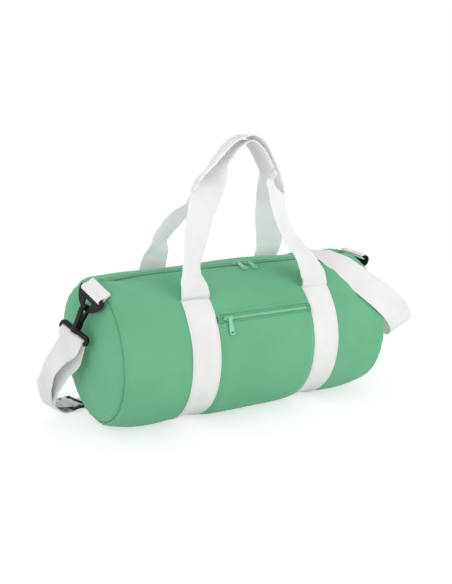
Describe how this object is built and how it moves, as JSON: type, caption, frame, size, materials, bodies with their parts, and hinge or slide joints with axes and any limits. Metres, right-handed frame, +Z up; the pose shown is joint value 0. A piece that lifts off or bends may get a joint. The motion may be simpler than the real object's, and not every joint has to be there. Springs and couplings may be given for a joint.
{
  "type": "barrel bag",
  "caption": "Cylindrical fabric holdall with a zipped top mouth, zipped front pocket, webbing carrying handles and a clip-on shoulder strap with swivel hooks.",
  "frame": {"origin": "on the floor under the middle of the barrel, on the pocket panel's flat underside", "axes": "+X along the barrel towards the end where the strap drapes, -Y towards the pocket, +Z up"},
  "size_m": [0.6633, 0.3106, 0.4673],
  "materials": {
    "mint_cloth": "woven matte",
    "mint_zip": "woven tape and moulded teeth",
    "mint_enamel": "enamelled",
    "white_webbing": "flat woven webbing",
    "black_plastic": "moulded satin"
  },
  "bodies": {
    "bag": {"barrel_panel": "mint_cloth", "left_end_panel": "mint_cloth", "right_end_panel": "mint_cloth", "left_seam_binding": "mint_cloth", "right_seam_binding": "mint_cloth", "pocket_panel": "mint_cloth", "pocket_welt": "mint_cloth", "front_zip_tape": "mint_zip", "rear_zip_tape_left": "mint_zip", "rear_zip_tape_right": "mint_zip", "front_zip_teeth": "mint_zip", "rear_zip_teeth_left": "mint_zip", "rear_zip_teeth_right": "mint_zip", "left_zip_end": "mint_cloth", "right_zip_end": "mint_cloth", "pocket_upper_tape": "mint_zip", "pocket_lower_tape": "mint_zip", "pocket_upper_teeth": "mint_zip", "pocket_lower_teeth": "mint_zip", "left_band": "white_webbing", "right_band": "white_webbing", "left_ring_tab": "white_webbing", "right_ring_tab": "white_webbing", "strap_left_return": "white_webbing", "strap_left_loop": "white_webbing", "strap_rear_run": "white_webbing", "strap_right_drape": "white_webbing"},
    "top_flap": {"rear_top_panel": "mint_cloth", "rear_zip_tape": "mint_zip", "rear_zip_teeth": "mint_zip"},
    "left_slider": {"left_slider_body": "mint_enamel"},
    "left_pull": {"left_slider_pull": "mint_enamel"},
    "right_slider": {"right_slider_body": "mint_enamel"},
    "right_pull": {"right_slider_pull": "mint_enamel"},
    "pocket_slider": {"pocket_slider_body": "mint_enamel"},
    "pocket_pull": {"pocket_slider_pull": "mint_enamel"},
    "front_handle": {"front_handle": "white_webbing"},
    "rear_handle": {"rear_handle": "white_webbing"},
    "left_clip": {"left_d_ring": "black_plastic", "left_yoke": "black_plastic"},
    "left_hook": {"left_hook_body": "black_plastic"},
    "left_gate": {"left_hook_gate": "black_plastic"},
    "right_clip": {"right_d_ring": "black_plastic", "right_yoke": "black_plastic"},
    "right_hook": {"right_hook_body": "black_plastic"},
    "right_gate": {"right_hook_gate": "black_plastic"},
    "adjuster": {"strap_adjuster": "black_plastic"}
  },
  "joints": [
    {"name": "main_slider_left_slide", "type": "slide", "parent": "bag", "child": "left_slider", "axis": [-1, 0, 0], "range_m": [0, 0.1945], "deforming": ["front_zip_teeth", "rear_zip_teeth", "rear_zip_teeth_left", "rear_zip_teeth_right", "front_zip_tape", "rear_zip_tape", "rear_zip_tape_left", "rear_zip_tape_right"]},
    {"name": "main_slider_right_slide", "type": "slide", "parent": "bag", "child": "right_slider", "axis": [1, 0, 0], "range_m": [0, 0.0835]},
    {"name": "top_flap_lift", "type": "hinge", "parent": "bag", "child": "top_flap", "pos_m": [0, 0.05325, 0.23519], "axis": [-1, 0, 0], "range_deg": [0, 50]},
    {"name": "left_pull_swing", "type": "hinge", "parent": "left_slider", "child": "left_pull", "pos_m": [0.0075, -0.01583, 0.24992], "axis": [-1, 0, 0], "range_deg": [0, 150]},
    {"name": "right_pull_swing", "type": "hinge", "parent": "right_slider", "child": "right_pull", "pos_m": [0.0285, -0.01583, 0.24992], "axis": [-1, 0, 0], "range_deg": [0, 150]},
    {"name": "pocket_slider_slide", "type": "slide", "parent": "bag", "child": "pocket_slider", "axis": [1, 0, 0], "range_m": [0, 0.1335], "deforming": ["pocket_upper_teeth", "pocket_lower_teeth"]},
    {"name": "pocket_pull_swing", "type": "hinge", "parent": "pocket_slider", "child": "pocket_pull", "pos_m": [-0.07, -0.11872, 0.18333], "axis": [-1, 0, 0], "range_deg": [0, 150]},
    {"name": "front_handle_fold", "type": "hinge", "parent": "bag", "child": "front_handle", "pos_m": [0, -0.0915, 0.2125], "axis": [1, 0, 0], "range_deg": [0, 140]},
    {"name": "rear_handle_fold", "type": "hinge", "parent": "bag", "child": "rear_handle", "pos_m": [0, 0.06665, 0.23192], "axis": [-1, 0, 0], "range_deg": [0, 140]},
    {"name": "adjuster_slide", "type": "slide", "parent": "bag", "child": "adjuster", "axis": [0.9707, 0.2402, 0], "range_m": [0, 0.06], "deforming": ["strap_left_return", "strap_left_loop", "strap_rear_run"]},
    {"name": "left_clip_swing", "type": "hinge", "parent": "bag", "child": "left_clip", "pos_m": [-0.267, -0.04345, 0.22855], "axis": [-0.1736, 0.9131, 0.3689], "range_deg": [-8, 70], "deforming": ["strap_left_return", "strap_left_loop"]},
    {"name": "left_hook_swivel", "type": "hinge", "parent": "left_clip", "child": "left_hook", "pos_m": [-0.2764, -0.03517, 0.20362], "axis": [0.3368, -0.2969, 0.8935], "range_deg": [-15, 15]},
    {"name": "left_gate_press", "type": "hinge", "parent": "left_hook", "child": "left_gate", "pos_m": [-0.2824, -0.02594, 0.17795], "axis": [0.1736, -0.9131, -0.3689], "range_deg": [0, 14], "stiffness_Nm_per_rad": 0.05, "springref_deg": -8.59},
    {"name": "right_clip_swing", "type": "hinge", "parent": "bag", "child": "right_clip", "pos_m": [0.262, -0.0174, 0.24478], "axis": [0.1736, -0.9752, -0.1371], "range_deg": [-8, 70], "deforming": ["strap_right_drape"]},
    {"name": "right_hook_swivel", "type": "hinge", "parent": "right_clip", "child": "right_hook", "pos_m": [0.2714, -0.01211, 0.21905], "axis": [-0.3368, -0.1896, 0.9223], "range_deg": [-15, 15]},
    {"name": "right_gate_press", "type": "hinge", "parent": "right_hook", "child": "right_gate", "pos_m": [0.2774, -0.00727, 0.1922], "axis": [-0.1736, 0.9752, 0.1371], "range_deg": [0, 14], "stiffness_Nm_per_rad": 0.05, "springref_deg": -8.59}
  ],
  "couplings": [
    {"joint": "main_slider_right_slide", "follows": "main_slider_left_slide", "ratio": 0.4293},
    {"joint": "top_flap_lift", "follows": "main_slider_left_slide", "rad_per_m": 4.4867},
    {"joint": "rear_handle_fold", "follows": "front_handle_fold", "ratio": 1}
  ]
}
